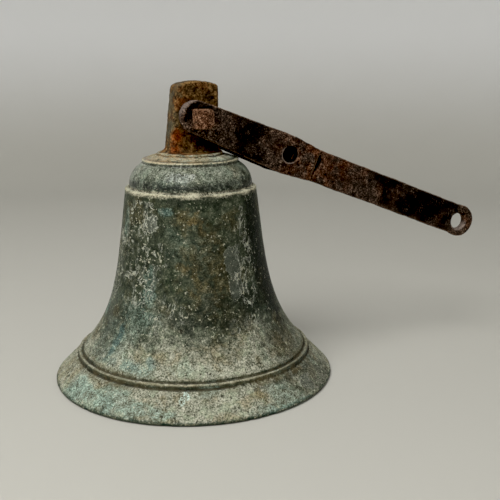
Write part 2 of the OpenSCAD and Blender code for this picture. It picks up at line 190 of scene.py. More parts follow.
BROWN_MARKS = [
    (-14.7, 135, 6, 9, 1.0), (-24, 138, 9, 8, 0.5), (-31.3, 14.5, 8, 4, 0.8), (-14.5, 16.7, 6, 4, 0.7),
    (11, 14, 5, 7, 0.8), (30.5, 31.6, 4, 4, 0.9), (-8, 100, 20, 34, 0.6), (45, 26, 10, 5, 0.5),
    (170, 90, 20, 30, 0.5), (-80, 62, 6, 5, 0.9), (-72, 58, 5, 3, 0.8), (28, 12, 9, 5, 0.7),
    (44, 14, 12, 6, 0.6), (42, 36, 18, 14, 0.7), (-60, 19, 30, 4, 0.6), (30, 20, 40, 4, 0.6),
]
SMOOTH_MARKS = [
    (13, 104, 7, 14, 1.0), (14, 88, 6, 14, 1.0), (36.8, 10, 9, 6, 0.4), (-52, 134, 8, 7, 0.5),
    (150, 95, 9, 20, 0.9), (215, 110, 8, 14, 0.8),
]
FLAKY_MARKS = [
    (-62, 112, 26, 50, 0.8), (24, 100, 12, 48, 0.8), (44, 112, 8, 40, 0.3), (-38, 66, 22, 18, 0.6),
    (20, 62, 20, 16, 0.5), (128, 104, 24, 44, 0.9), (205, 112, 20, 40, 0.8), (262, 96, 20, 40, 0.9),
]
# Dark marks are green-black patina, and also painted shade on both flanks and the waist's front, which face away
# from the overhead lamp
DARK_AND_SHADE_MARKS = [
    (42, 118, 16, 50, 1.0), (50, 80, 20, 34, 0.95), (24, 72, 20, 12, 0.75), (2, 74, 22, 9, 0.5),
    (-15, 66, 24, 8, 0.55), (46, 34, 36, 28, 0.5), (44, 10, 40, 9, 0.55), (12, 62, 30, 9, 0.65),
    (-80, 48, 20, 26, 0.5), (-22, 57, 5, 4, 0.5), (-8, 152, 30, 6, 0.4), (-62, 112, 26, 50, 0.22),
    (34, 17.2, 44, 2.4, 0.6), (4, 106, 24, 34, 0.3), (-70, 58, 10, 11, 0.35),
]
PIT_MARKS = [
    (-25.9, 56.5, 1.4, 1.7, 0.7), (-68.5, 60.1, 1.2, 1.4, 0.6), (-26.4, 4.8, 2.4, 1.6, 0.7),
    (-12, 30, 0.9, 0.9, 0.5), (31, 45, 1.2, 1.0, 0.5), (118, 52, 1.6, 1.4, 0.7),
    (205, 70, 1.3, 1.5, 0.6), (262, 40, 1.5, 1.2, 0.6),
]
# Marks on the block's front face, as x and height in millimetres, half width, half height and
# strength
GLOW_MARKS = [(-15, 196, 6, 7, 1.0), (-16, 186, 5, 5, 0.8), (-9, 219, 8, 7, 0.35), (17, 206, 4, 8, 0.5)]
# These marks are painted shadow under the lever on the block's lower front, and dark patches higher up
SHADE_AND_SOOT_MARKS = [(12, 225, 6, 5, 0.9), (0, 231, 8, 3, 0.4), (4, 196, 12, 6, 0.8), (12, 188, 12, 9, 1.0)]

# Heights on the bell in millimetres, each the start and the end of a soft change
RIM_TOP = (2.4, 4.2)
NICKS_TOP = (3, 6)
BEAD_FOOT = (17, 18.5)
BEAD_TOP = (26.5, 28)
LIP_TOP = (20, 28)
SHOULDER = (150, 156)
LEDGE_FOOT = (152.0, 153.4)
LEDGE_TOP = (156.4, 157.4)
DOME_START = (156, 158)
DOME_FOOT = (157, 158.5)
DOME_FOOT_TOP = (160, 166)
DOME_TOP = (178.2, 179.4)
PLATE_START = (176, 178)
BLOCK_START = (182.5, 184)
BLOCK_FOOT_TOP = (184, 190)
# Height over which every face is an outer one, and under which the walls flake
OUTER_Z = 180
FLAKY_Z = 150
# Radii on the bell in millimetres: the block's reach, the rust round its foot, the fine grooves in
# the crown plate, and the mouth's edge
BLOCK_R = 34
FOOT_RUST_R = (21, 28)
PLATE_RINGS = (26.6, 35.6)
MOUTH_R = (108, 111)
# Azimuths in degrees: the middle of the plate's tan stain, and of the bead's brighter part
STAIN_AZIMUTH = -62
BRIGHT_BEAD_AZIMUTH = -17


def marks(co, spots, ragged):
    """Strongest of the marks at each point of the bell, their outlines broken by noise."""
    azimuth = np.degrees(np.arctan2(co[:, 0], -co[:, 1]))
    radius = np.hypot(co[:, 0], co[:, 1])
    found = np.zeros(len(co))
    for angle, z, width, height, strength in spots:
        turn = (azimuth - angle + 180) % 360 - 180
        across = np.radians(turn) * radius / (width * MM)
        away = np.hypot(across, (co[:, 2] - z * MM) / (height * MM)) + ragged
        found = np.maximum(found, strength * step(-away, -1.25, -0.55))
    return found


def flat_marks(co, spots, ragged):
    """The same for marks given by x and height."""
    found = np.zeros(len(co))
    for x, z, width, height, strength in spots:
        across = (co[:, 0] - x * MM) / (width * MM)
        away = np.hypot(across, (co[:, 2] - z * MM) / (height * MM)) + ragged
        found = np.maximum(found, strength * step(-away, -1.3, -0.4))
    return found


def block_rust(x, z, radius, face, middle, fine, block, crown):
    """Rust on the block's faces and round its foot, less at the block's left end."""
    from_end = step(x + 4 * middle + 3 * fine - 0.16 * (z - 182), -19, -12)
    on_face = step(face + 0.25 * fine, 0.45, 0.9) * (0.2 + 0.8 * from_end)
    rust = block * np.maximum(on_face, 0.56 + 0.5 * middle)
    foot = 1 - step(z + 5 * middle + 3 * fine, *BLOCK_FOOT_TOP)
    near = 1 - step(radius / MM + 4 * middle + 2 * fine, *FOOT_RUST_R)
    return np.maximum(rust, crown * foot * near * 0.9)


def wear_bell(co, normals):
    """Height of the bell's surface over the CAD one, and the masks that its paint follows."""
    x, z = co[:, 0] / MM, co[:, 2] / MM
    radius = np.hypot(co[:, 0], co[:, 1])
    azimuth = np.degrees(np.arctan2(co[:, 0], -co[:, 1]))
    face = np.abs(normals[:, 1])
    outward = (normals[:, :2] * co[:, :2]).sum(1) / np.maximum(radius, WELD)
    outside = step(outward + normals[:, 2] + 2.0 * (z > OUTER_Z), -0.15, 0.15)
    broad, middle, fine = hills(co, 42 * MM), hills(co, 13 * MM, 2, 1), hills(co, 3.4 * MM, 2, 2)
    grain = hills(co, 1.7 * MM, 1, 3)
    ragged = 0.5 * hills(co, 5 * MM, 3, 4)

    block = step(z, *BLOCK_START) * (radius < BLOCK_R * MM)
    crown = step(z, *PLATE_START)
    dome = step(z, *DOME_START) * (1 - step(z, *DOME_TOP))
    lip = 1 - step(z, *LIP_TOP)
    bead = step(z, *BEAD_FOOT) * (1 - step(z, *BEAD_TOP))
    ledge = step(z + fine, *LEDGE_FOOT) * (1 - step(z + 0.7 * fine, *LEDGE_TOP)) * outside
    dome_foot = step(z, *DOME_FOOT) * (1 - step(z + 3 * middle, *DOME_FOOT_TOP))
    dome_foot = dome_foot * step(middle + fine, -0.6, 0.1)
    # The plate's fine grooves are darkened as painted shade along its steps
    rings = [np.exp(-(((radius / MM - r + 0.6 * fine) / 0.7) ** 2)) for r in PLATE_RINGS]
    rings = crown * outside * (1 - block) * np.maximum(*rings)
    # Pale dust on faces that point up, which is also painted light from the overhead lamp; the steep walls it
    # leaves dark carry painted shade too
    dust = step(normals[:, 2] + 0.10 * hills(co, 26 * MM, 2, 5) + 0.08 * middle, 0.16, 0.78)
    dust = np.maximum(np.minimum(dust, 1 - 0.55 * dome), 0.3 * step(z, *SHOULDER)) * (1 - 0.6 * block)
    stain = step(np.cos(np.radians(azimuth - STAIN_AZIMUTH)), 0.2, 0.95)
    stain = crown * (1 - block) * (0.2 + 0.7 * stain)
    loose_teal = step(hills(co, 30 * MM, 2, 6), 0.15, 0.5)
    loose_brown = step(hills(co, 24 * MM, 2, 7), 0.25, 0.5)
    masks = {
        "dust": dust,
        "teal": marks(co, TEAL_MARKS, ragged) + 0.2 * dome + (0.15 + 0.5 * lip) * loose_teal,
        "sea": marks(co, SEA_MARKS, ragged),
        "bright": marks(co, BRIGHT_MARKS, ragged),
        "brown": marks(co, BROWN_MARKS, ragged) + 0.4 * loose_brown,
        "smooth": marks(co, SMOOTH_MARKS, ragged),
        # Dark marks, the dome's foot and the plate's grooves: green-black patina, with painted shade on the flanks
        # and along the plate's steps
        "dark": np.maximum.reduce([marks(co, DARK_AND_SHADE_MARKS, ragged), 0.9 * dome_foot, rings]),
        "gloss": dome,
        "tan": stain * step(middle + fine, -0.5, 0.3),
        "block": block,
        # The mouth's edge: dark green verdigris with painted shade of its underside
        "rim": (1 - step(z + 0.8 * fine, *RIM_TOP)) * step(outward, 0.1, 0.4),
        "ledge": ledge * (0.56 + 0.9 * middle),
        "bead": bead * (0.7 + 0.3 * step(np.abs(azimuth - BRIGHT_BEAD_AZIMUTH), 17, 42)),
        "flaky": marks(co, FLAKY_MARKS, 0.5 * ragged) * (z < FLAKY_Z),
        "rust": block_rust(x, z, radius, face, middle, fine, block, crown),
        "glow": block * flat_marks(co, GLOW_MARKS, ragged) * face,
        # Painted shadow under the lever on the block's front, with dark patches
        "soot": block * flat_marks(co, SHADE_AND_SOOT_MARKS, ragged) * face,
        "inside": 1 - outside,
    }

    crust = np.clip(fine - 0.1, 0, 1) * (0.25 + 0.5 * masks["teal"]) * (dust + 0.3)
    pits = np.clip(hills(co, 2.6 * MM, 1, 8) - 0.36, 0, 1) * (0.4 + dust)
    scabs = block * (0.34 * hills(co, 6 * MM, 2, 9) + 0.14 * grain)
    nicks = step(hills(co, 7 * MM, 1, 10), 0.33, 0.6) * (1 - step(z, *NICKS_TOP))
    nicks = nicks * step(radius / MM, *MOUTH_R)
    height = 0.24 * broad + 0.12 * middle + 0.06 * fine + 0.045 * grain
    height += 0.30 * crust - 0.9 * pits - 0.9 * marks(co, PIT_MARKS, 0.6 * ragged)
    height -= 0.12 * masks["smooth"] + 0.03
    height += scabs - 0.5 * nicks - 0.3 * rings
    return height * MM * (0.35 + 0.65 * outside), masks


# Places along the lever from the bolt, in millimetres: black scale before the pivot hole and near
# the rope hole, red rust between them, a short crack past the weld seam, and the wall of the eye
# behind the bolt's head, worn silvery and painted lighter as a highlight
NEAR_SCALE_S = 44
FAR_SCALE_START = (148, 188)
FAR_SCALE_END = (250, 262)
RED_S = 112
CRACK_S = 120
EYE_WALL_END = (-9, -4)
# How far the painted shade between the tines reaches past the pivot hole
THROAT_REACH = 15


def lever_place(co):
    """Distance along the lever from the bolt, depth, and height over its middle line."""
    return (co - bolt) @ along / MM, co[:, 1], (co - bolt) @ upright / MM


def wear_lever(co, normals):
    """Forged and rusted surface of the lever's pieces, with the open weld seam, painted shade in its gaps and
    holes, and painted light on its top faces and the eye's wall.
    """
    s, y, w = lever_place(co)
    broad, middle = hills(co, 24 * MM, 2, 20), hills(co, 7.5 * MM, 2, 21)
    grain = hills(co, 1.7 * MM, 2, 22)
    pits = np.clip(hills(co, 2.9 * MM, 2, 23) - 0.18, 0, 1)
    face = np.abs(normals[:, 1])
    front = step(-normals[:, 1], 0.2, 0.7) * (y < LEVER_FRONT + 3 * MM)
    side = 1 - step(face, 0.3, 0.7)
    height = 0.3 * broad + (0.18 + 0.16 * side) * middle + 0.10 * grain - 0.7 * pits + 0.12

    open_seam = step(w, -15, -5) * (1 - step(w, 5, 10))
    seam_s = LAP_S / MM + 1.2 + 0.08 * w + 0.9 * middle
    seam_width = 0.6 + open_seam * (1.0 + 1.2 * step(w, -5, 3))
    near = np.exp(-(((s - seam_s) / seam_width) ** 2))
    height -= front * near * (0.35 + 2.4 * open_seam)
    gap = step(near, 0.25, 0.6) * open_seam
    crack = np.exp(-(((s - CRACK_S - 1.5 * middle) / 2.6) ** 2) - ((w + 5) / 1.4) ** 2)
    height -= front * crack * 0.8

    past_pivot, past_rope = s - PIVOT_S / MM, s - ROPE_S / MM
    from_pivot = np.hypot(past_pivot, w) - PIVOT_R / MM
    from_rope = np.hypot(past_rope, w) - ROPE_R / MM
    rim = step(face, 0.25, 0.6) * (1 - step(from_pivot + 0.5 * grain, 0.6, 1.2))
    rim *= 0.1 + 0.9 * step(-past_pivot - w + 4 * middle, -3, 7)
    in_rope = (1 - step(from_rope + 0.4 * grain, 0.7, 1.7)) * step(0.5 * past_rope - w, -1, 6)
    # Painted highlight: the eye's wall that faces left and up is made silvery, over some real wear
    eye_wall = step(-(normals @ along) + 0.5 * (normals @ upright), 0.7, 0.98)
    eye_wall = eye_wall * (1 - step(s, *EYE_WALL_END))
    eye_wall = eye_wall * step(w + 2 * middle, -9, -2) * (np.abs(y) > FORK_HALF)

    # Painted shade: black between the tines, on the pivot hole's bore, round the bolt's head, and in the open seam
    # and the crack
    between = (np.abs(y) < FORK_HALF + 0.6 * MM) * (s < PIVOT_S / MM + THROAT_REACH)
    bore = (1 - step(face, 0.3, 0.6)) * (np.abs(from_pivot) < 2)
    from_bolt = np.hypot(s, w)
    behind = front * (1 - step(from_bolt + grain, 11.5, 13)) * step(-s + w + 3 * middle, -2, 6) * 0.9
    far_scale = step(s + 1.2 * w + 12 * broad, *FAR_SCALE_START) * (1 - step(s, *FAR_SCALE_END))
    black = np.exp(-(((s - NEAR_SCALE_S) / 22) ** 2)) + far_scale
    black = black * (1.0 + 0.3 * step(w, -9, 0)) + 0.9 * hills(co, 13 * MM, 3, 24)
    red = np.exp(-(((s - RED_S) / 38) ** 2)) * (0.85 + 0.3 * (w > 0)) + 0.8 * hills(co, 17 * MM, 2, 25)
    masks = {
        "scale": np.clip(black - 0.15, 0, 1),
        "red": np.clip(red, 0, 1),
        "worn": np.maximum.reduce([0.8 * rim, in_rope, 0.7 * eye_wall]),
        # The black of painted shade in the gaps, the holes and the seam
        "soot": np.maximum.reduce([between, bore, behind, front * np.maximum(gap, crack)]),
        # Painted light: faces that point up are made lighter
        "top": step(normals @ upright, 0.5, 0.8),
    }
    return height * MM, masks


def wear_iron(co, normals):
    """Rusted surface of the small iron pieces, the same whichever way it faces."""
    height = 0.16 * hills(co, 6 * MM, 2, 30) + 0.08 * hills(co, 1.6 * MM, 2, 31)
    height -= 0.35 * np.clip(hills(co, 2.2 * MM, 1, 32) - 0.2, 0, 1) + 0.03
    masks = {
        "scale": np.clip(0.1 + hills(co, 9 * MM, 2, 33), 0, 1),
        "red": np.clip(0.2 + hills(co, 12 * MM, 2, 34), 0, 1),
        "worn": np.zeros(len(co)),
        "soot": np.zeros(len(co)),
        "top": np.zeros(len(co)),
    }
    return height * MM, masks


def wear_clapper(co, normals):
    """The clapper's forged shank and its ball, polished where the ball strikes."""
    height, masks = wear_iron(co, normals)
    flats = 0.35 * np.abs(hills(co, 11 * MM, 1, 40))
    low, high = (np.array(corner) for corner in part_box("clapper_ball"))
    centre, ball_r = (low + high) / 2, (high[0] - low[0]) / 2
    on_ball = np.abs(co[:, 2] - centre[2]) < ball_r
    struck = step(np.abs(co[:, 0] - centre[0]) / ball_r, 0.72, 0.92) * on_ball
    masks["worn"] = struck
    return height * (1 - 0.7 * struck) - flats * MM, masks


# Bolt

# Corners of the head and the nut, as their side in x and z and their reach in millimetres, and the
# share of what stands past that reach that is worn away
HEAD_CORNERS = [(1, -1, 8.7), (1, 1, 9.1), (-1, 1, 10.0), (-1, -1, 9.8)]
NUT_CORNERS = [(1, -1, 10.9), (1, 1, 11.1), (-1, 1, 10.8), (-1, -1, 11.2)]
CORNER_WEAR = 0.85
# Thread at the bolt's end in millimetres: pitch, depth, the radii between which the cut grows, how
# far under the nut's outer face it starts, and how far before the bolt's end it runs out
THREAD_PITCH = 1.59
THREAD_DEPTH = 0.9
THREAD_SIDE = (2.6, 3.6)
THREAD_START = (1.2, 0.4)
THREAD_RUNOUT = 0.5


def cut_corners(co, middle, corners):
    """Wears the corners of a square head or nut down towards their reach."""
    co = co.copy()
    for side_x, side_z, reach in corners:
        way = np.array([side_x, 0, side_z]) / math.sqrt(2)
        past = np.maximum((co - middle) @ way - reach * MM, 0)
        co -= CORNER_WEAR * past[:, None] * way
    return co


def shape_bolt(co):
    """Wears the head's corners and winds a thread into the end that stands out of the nut."""
    low, high = (np.array(corner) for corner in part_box("pivot_bolt"))
    head = co[:, 1] < LEVER_FRONT
    co = np.where(head[:, None], cut_corners(co, (low + high) / 2, HEAD_CORNERS), co)
    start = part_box("square_nut")[1].y
    rel = co - bolt
    turn = np.arctan2(rel[:, 2], rel[:, 0]) / (2 * math.pi)
    wave = np.abs(((co[:, 1] / (THREAD_PITCH * MM) - turn) % 1) * 2 - 1)
    radius = np.hypot(rel[:, 0], rel[:, 2])
    side = step(radius, THREAD_SIDE[0] * MM, THREAD_SIDE[1] * MM)
    under, over = (start - far * MM for far in THREAD_START)
    cut = THREAD_DEPTH * MM * wave * side * step(co[:, 1], under, over)
    cut *= 1 - step(co[:, 1], high[1] - THREAD_RUNOUT * MM, high[1])
    shrink = 1 - cut / np.maximum(radius, WELD)
    co[:, 0] = bolt[0] + rel[:, 0] * shrink
    co[:, 2] = bolt[2] + rel[:, 2] * shrink
    return co


def shape_nut(co):
    return cut_corners(co, bolt, NUT_CORNERS)


# Materials

def tone(red, green, blue):
    """A colour given as it shows on a screen, 0 to 255, in the linear values that shaders use."""
    def linear(c):
        c /= 255
        return c / 12.92 if c <= 0.04045 else ((c + 0.055) / 1.055) ** 2.4
    return (linear(red), linear(green), linear(blue), 1.0)


# Single colours that are laid over the others
COOL_TINT = tone(196, 214, 196)
WARM_TINT = tone(222, 207, 183)
BRIGHT_GREEN = tone(206, 232, 222)
PALE_OUTLINE = tone(196, 198, 180)
GREEN_BLACK = tone(15, 21, 16)
PALE_LIME = tone(214, 216, 198)
PALE_FLECK = tone(198, 196, 172)
GROOVE_BROWN = tone(40, 38, 27)
PALE_RIDGE = tone(206, 196, 164)
BEAD_BROWN = tone(84, 76, 54)
LEDGE_DUST = tone(202, 197, 171)
INNER_BROWN = tone(58, 54, 42)
TAN_STAIN = tone(172, 142, 98)
RIM_GREEN = tone(28, 48, 39)
RUST_EDGE = tone(168, 134, 86)
SCALE_BLACK = tone(9, 8, 8)
PIT_BLACK = tone(12, 9, 8)
IRON_EDGE = tone(150, 118, 92)
# Bare iron where worn, also laid as a painted highlight on the eye's wall
BARE_IRON_AND_HIGHLIGHT = tone(146, 131, 120)
# Black laid as painted shade in the lever's gaps, holes and seam
PAINTED_SHADE_BLACK = tone(5, 5, 4)
# Weak shine of both metals under their crust
CRUST_SPECULAR = 0.12


class Paint:
    """One node material, with short names for the few kinds of node that it is made of."""

    def __init__(self, name):
        self.material = bpy.data.materials.new(name)
        self.material.use_nodes = True
        self.tree = self.material.node_tree
        self.shader = self.tree.nodes["Principled BSDF"]
        self.here = self.add("ShaderNodeTexCoord").outputs["Object"]

    def add(self, kind, **settings):
        node = self.tree.nodes.new(kind)
        for key, value in settings.items():
            setattr(node, key, value)
        return node

    def feed(self, socket, value):
        if isinstance(value, bpy.types.NodeSocket):
            self.tree.links.new(value, socket)
        else:
            socket.default_value = value

    def noise(self, size, detail=2.0, rough=0.5, warp=0.0, stretch=(1, 1, 1), shift=0.0):
        """Noise from 0 to 1 whose patches have that size in millimetres."""
        mapping = self.add("ShaderNodeMapping")
        self.feed(mapping.inputs["Vector"], self.here)
        self.feed(mapping.inputs["Location"], (shift, shift * 0.7, -shift))
        self.feed(mapping.inputs["Scale"], stretch)
        node = self.add("ShaderNodeTexNoise")
        self.feed(node.inputs["Vector"], mapping.outputs["Vector"])
        self.feed(node.inputs["Scale"], 1000.0 / size)
        self.feed(node.inputs["Detail"], detail)
        self.feed(node.inputs["Roughness"], rough)
        self.feed(node.inputs["Distortion"], warp)
        return node.outputs["Fac"]

    def mask(self, name):
        return self.add("ShaderNodeAttribute", attribute_name=name).outputs["Fac"]

    def calc(self, operation, a, b=0.0, clamp=False):
        node = self.add("ShaderNodeMath", operation=operation, use_clamp=clamp)
        self.feed(node.inputs[0], a)
        self.feed(node.inputs[1], b)
        return node.outputs["Value"]

    def swing(self, value, share):
        """A noise's swing about its middle, times a share."""
        return self.calc("MULTIPLY", self.calc("SUBTRACT", value, 0.5), share)

    def rise(self, value, low, high, start=0.0, end=1.0):
        """Start at or below low, end at or above high, smooth between."""
        node = self.add("ShaderNodeMapRange", interpolation_type="SMOOTHSTEP")
        given = {"Value": value, "From Min": low, "From Max": high, "To Min": start, "To Max": end}
        for key, setting in given.items():
            self.feed(node.inputs[key], setting)
        return node.outputs["Result"]

    def line(self, value, at, width):
        """1 where a noise crosses a value, falling to 0 at that width on each side."""
        off = self.calc("ABSOLUTE", self.calc("SUBTRACT", value, at))
        return self.rise(off, 0.0, width, 1.0, 0.0)

    def both(self, *factors):
        """Product of the factors."""
        found = factors[0]
        for factor in factors[1:]:
            found = self.calc("MULTIPLY", found, factor, clamp=True)
        return found

    def mix(self, factor, a, b, how="MIX"):
        node = self.add("ShaderNodeMix", data_type="RGBA", blend_type=how)
        self.feed(node.inputs[0], factor)
        self.feed(node.inputs[6], a)
        self.feed(node.inputs[7], b)
        return node.outputs[2]

    def lay(self, colour, over, *factors):
        """Lays one colour over another, as far as the product of the factors says."""
        return self.mix(self.both(*factors), colour, over)

    def ramp(self, value, *stops):
        """Colours along a value, each given by its place and its tone."""
        node = self.add("ShaderNodeValToRGB")
        band = node.color_ramp
        band.elements.remove(band.elements[1])
        band.elements[0].position = stops[0][0]
        band.elements[0].color = stops[0][1]
        for position, colour in stops[1:]:
            band.elements.new(position).color = colour
        self.feed(node.inputs["Fac"], value)
        return node.outputs["Color"]

    def bump(self, *layers):
        """Layers of height and distance in millimetres, one over the other."""
        normal = None
        for height, distance in layers:
            node = self.add("ShaderNodeBump")
            self.feed(node.inputs["Height"], height)
            self.feed(node.inputs["Distance"], distance * MM)
            self.feed(node.inputs["Strength"], 1.0)
            if normal is not None:
                self.feed(node.inputs["Normal"], normal)
            normal = node.outputs["Normal"]
        self.feed(self.shader.inputs["Normal"], normal)

    def finish(self, colour, roughness, metallic, specular):
        self.feed(self.shader.inputs["Base Color"], colour)
        self.feed(self.shader.inputs["Roughness"], roughness)
        self.feed(self.shader.inputs["Metallic"], metallic)
        self.shader.inputs["Specular IOR Level"].default_value = specular
        return self.material


class BronzePaint(Paint):
    """Bronze under green, grey and teal patina, with rust from the iron on the crown block."""

    def __init__(self):
        super().__init__("patinated_bronze")
        self.bulge = self.mask("bulge")
        self.mottle = self.noise(4.5, 6, 0.7, 0.2)
        self.grain = self.noise(1.15, 4, 0.68, shift=2.0)
        self.blot = self.noise(15, 4, 0.6, 0.7, shift=5.0)
        self.patch = self.noise(9, 3, 0.55, 0.6, shift=8.0)
        value = self.calc("ADD", self.swing(self.mottle, 0.55), self.swing(self.grain, 1.15))
        value = self.calc("ADD", value, 0.5)
        self.value = self.calc("ADD", value, self.swing(self.patch, 0.35))
        self.grey = self.ramp(self.value, (0.30, tone(62, 68, 60)), (0.70, tone(108, 112, 100)))

    def patina(self):
        """Green-black on steep walls and pale dust on what faces up, also painted light from above and painted
        shade on the steep walls, and how pale each place is.
        """
        quiet = self.calc("ADD", self.mottle, self.swing(self.grain, 0.65))
        dark = self.ramp(
            quiet, (0.28, tone(22, 28, 21)), (0.42, tone(48, 54, 42)), (0.52, tone(64, 70, 55)),
            (0.62, tone(86, 90, 73)), (0.78, tone(144, 146, 124)))
        light = self.ramp(
            self.value, (0.27, tone(58, 59, 46)), (0.40, tone(108, 110, 92)),
            (0.50, tone(153, 154, 136)), (0.60, tone(181, 180, 161)), (0.76, tone(222, 218, 199)))
        broken = self.calc("ADD", self.swing(self.mottle, 0.6), self.swing(self.grain, 0.5))
        broken = self.calc("ADD", self.swing(self.blot, 0.35), broken)
        dust_and_top_light_share = self.rise(self.calc("ADD", self.mask("dust"), broken), 0.0, 1.05)
        colour = self.mix(dust_and_top_light_share, dark, light)
        cool = self.rise(self.patch, 0.46, 0.64, 0.0, 0.55)
        colour = self.mix(cool, colour, COOL_TINT, "MULTIPLY")
        warm = self.rise(self.noise(21, 4, 0.6, 0.8, shift=15.0), 0.5, 0.64, 0.0, 0.6)
        return self.mix(warm, colour, WARM_TINT, "MULTIPLY"), dust_and_top_light_share

    def stains(self, colour):
        """Brown, green, bright, smooth grey, teal-grey and dark marks, in that order."""
        value = self.value
        brown = self.ramp(
            value, (0.30, tone(34, 29, 15)), (0.48, tone(80, 68, 40)), (0.66, tone(134, 118, 80)))
        green = self.ramp(
            value, (0.28, tone(36, 54, 50)), (0.42, tone(74, 98, 90)), (0.54, tone(116, 142, 130)),
            (0.72, tone(188, 208, 192)))
        sea = self.ramp(
            value, (0.25, tone(45, 62, 58)), (0.5, tone(79, 101, 95)), (0.72, tone(130, 153, 144)))
        colour = self.lay(colour, brown, self.mask("brown"), self.rise(self.patch, 0.34, 0.54), 0.7)
        colour = self.lay(colour, green, self.mask("teal"), self.rise(value, 0.34, 0.56), 0.75)
        colour = self.lay(colour, BRIGHT_GREEN, self.mask("bright"), self.rise(value, 0.44, 0.56), 0.85)
        smooth = self.calc("ADD", self.mask("smooth"), self.swing(self.mottle, 0.4))
        colour = self.lay(colour, self.grey, self.rise(smooth, 0.2, 0.5), 0.85)
        outline = self.line(smooth, 0.34, 0.12)
        colour = self.lay(colour, PALE_OUTLINE, outline, self.rise(self.grain, 0.38, 0.55), 0.7)
        colour = self.lay(colour, sea, self.mask("sea"), 0.88)
        darker = self.rise(value, 0.85, 0.55, 0.45, 0.95)
        # The dark mask is partly painted shade on the walls away from the lamp and along the plate's steps
        return self.lay(colour, GREEN_BLACK, self.mask("dark"), darker)

    def flakes(self, colour):
        """Curled pale flakes with grey inside them, and small flecks, with the masks of both."""
        flake = self.noise(8, 4, 0.62, 1.6, stretch=(1, 1, 0.5), shift=9.0)
        spread = self.swing(self.noise(18, 2, 0.5, shift=4.0), 1.6)
        flaky = self.rise(self.calc("ADD", self.mask("flaky"), spread), 0.35, 0.8)
        broken = self.rise(self.grain, 0.28, 0.48)
        curls = self.both(self.line(flake, 0.55, 0.03), flaky, broken, self.rise(self.patch, 0.36, 0.52))
        colour = self.lay(colour, self.grey, self.rise(flake, 0.55, 0.57), flaky, 0.45)
        colour = self.lay(colour, PALE_LIME, curls, 0.95)
        fleck = self.calc("ADD", self.noise(2.1, 3, 0.6, 0.3, shift=12.0), self.swing(self.patch, 0.35))
        fleck = self.calc("ADD", fleck, self.both(flaky, 0.04))
        fleck = self.both(self.rise(fleck, 0.64, 0.70), 0.75)
        return self.mix(fleck, colour, PALE_FLECK), curls, fleck

    def edges(self, colour):
        """Dark grooves, pale ridges, the bead, the ledge, the inside, the crown plate and the rim."""
        value = self.value
        hollow = self.rise(self.bulge, -0.06, -0.4)
        clean = self.rise(self.mask("rust"), 0.1, 0.0, 0.0, 1.0)
        ridge = self.both(self.rise(self.bulge, 0.14, 0.55), self.rise(self.grain, 0.3, 0.55), clean)
        calm = self.calc("MULTIPLY", self.mask("bead"), self.rise(value, 0.35, 0.65, 0.5, 1.0))
        calm = self.calc("SUBTRACT", 1.0, calm)
        colour = self.lay(colour, GROOVE_BROWN, hollow, 0.85)
        colour = self.lay(colour, PALE_RIDGE, ridge, calm, 0.8)
        colour = self.lay(colour, BEAD_BROWN, self.mask("bead"), self.rise(self.patch, 0.4, 0.56), 0.5)
        colour = self.lay(colour, LEDGE_DUST, self.mask("ledge"), self.rise(value, 0.38, 0.57), 0.85)
        colour = self.lay(colour, INNER_BROWN, self.mask("inside"), 0.7)
        colour = self.lay(colour, TAN_STAIN, self.mask("tan"), self.rise(value, 0.3, 0.55), 0.6)
        # Dark green verdigris at the mouth's edge, with painted shade of its underside
        return self.lay(colour, RIM_GREEN, self.mask("rim"), self.rise(value, 0.75, 0.5, 0.3, 0.85))

    def rust_colour(self):
        """Rust on the crown block, from black-brown through orange to pale dust."""
        value = self.calc("ADD", self.mottle, self.swing(self.grain, 0.8))
        colour = self.ramp(
            value, (0.30, tone(15, 9, 5)), (0.43, tone(50, 34, 18)), (0.53, tone(90, 64, 34)),
            (0.63, tone(124, 94, 54)), (0.76, tone(174, 146, 98)))
        glow = self.ramp(
            value, (0.32, tone(42, 13, 2)), (0.5, tone(96, 36, 5)), (0.68, tone(152, 74, 18)))
        red = self.ramp(value, (0.35, tone(48, 18, 8)), (0.6, tone(120, 56, 22)))
        # Near-black laid as painted shadow under the lever, and as dark patches
        soot = self.ramp(
            value, (0.4, tone(12, 9, 8)), (0.6, tone(44, 32, 23)), (0.75, tone(108, 84, 60)))
        colour = self.lay(colour, glow, self.mask("glow"), 0.9)
        reddish = self.rise(self.noise(9, 3, 0.55, 0.5, shift=1.7), 0.52, 0.68, 0.0, 0.4)
        colour = self.mix(reddish, colour, red)
        return self.lay(colour, soot, self.mask("soot"), 0.9)

    def block(self, colour):
        """Olive bronze under rust on the crown block, and how rusty each place is."""
        olive = self.ramp(
            self.value, (0.3, tone(30, 25, 14)), (0.5, tone(72, 62, 40)), (0.72, tone(122, 111, 82)))
        colour = self.lay(colour, olive, self.mask("block"), 0.85)
        rusty = self.rise(self.calc("ADD", self.mask("rust"), self.swing(self.blot, 0.8)), 0.3, 0.75)
        colour = self.mix(rusty, colour, self.rust_colour())
        edge = self.rise(self.bulge, 0.1, 0.5)
        return self.lay(colour, RUST_EDGE, edge, rusty, self.rise(self.grain, 0.35, 0.6), 0.6), rusty

    def make(self):
        """Lays all the layers over one another and gives back the finished material."""
        colour, dust_and_top_light_share = self.patina()
        colour = self.stains(colour)
        colour, curls, fleck = self.flakes(colour)
        colour = self.edges(colour)
        colour, rusty = self.block(colour)
        gloss = self.mask("gloss")
        rough = self.rise(self.calc("MAXIMUM", dust_and_top_light_share, rusty), 0, 1, 0.46, 0.74)
        rough = self.calc("ADD", rough, self.swing(self.grain, 0.5))
        rough = self.calc("SUBTRACT", rough, self.calc("MULTIPLY", gloss, 0.1))
        coat = self.both(gloss, self.rise(self.value, 0.3, 0.6), 0.7)
        self.feed(self.shader.inputs["Coat Weight"], coat)
        self.shader.inputs["Coat Roughness"].default_value = 0.2
        self.bump((self.grain, 0.30), (self.mottle, 0.6), (curls, 0.3), (fleck, 0.25))
        return self.finish(colour, rough, 0.0, CRUST_SPECULAR)


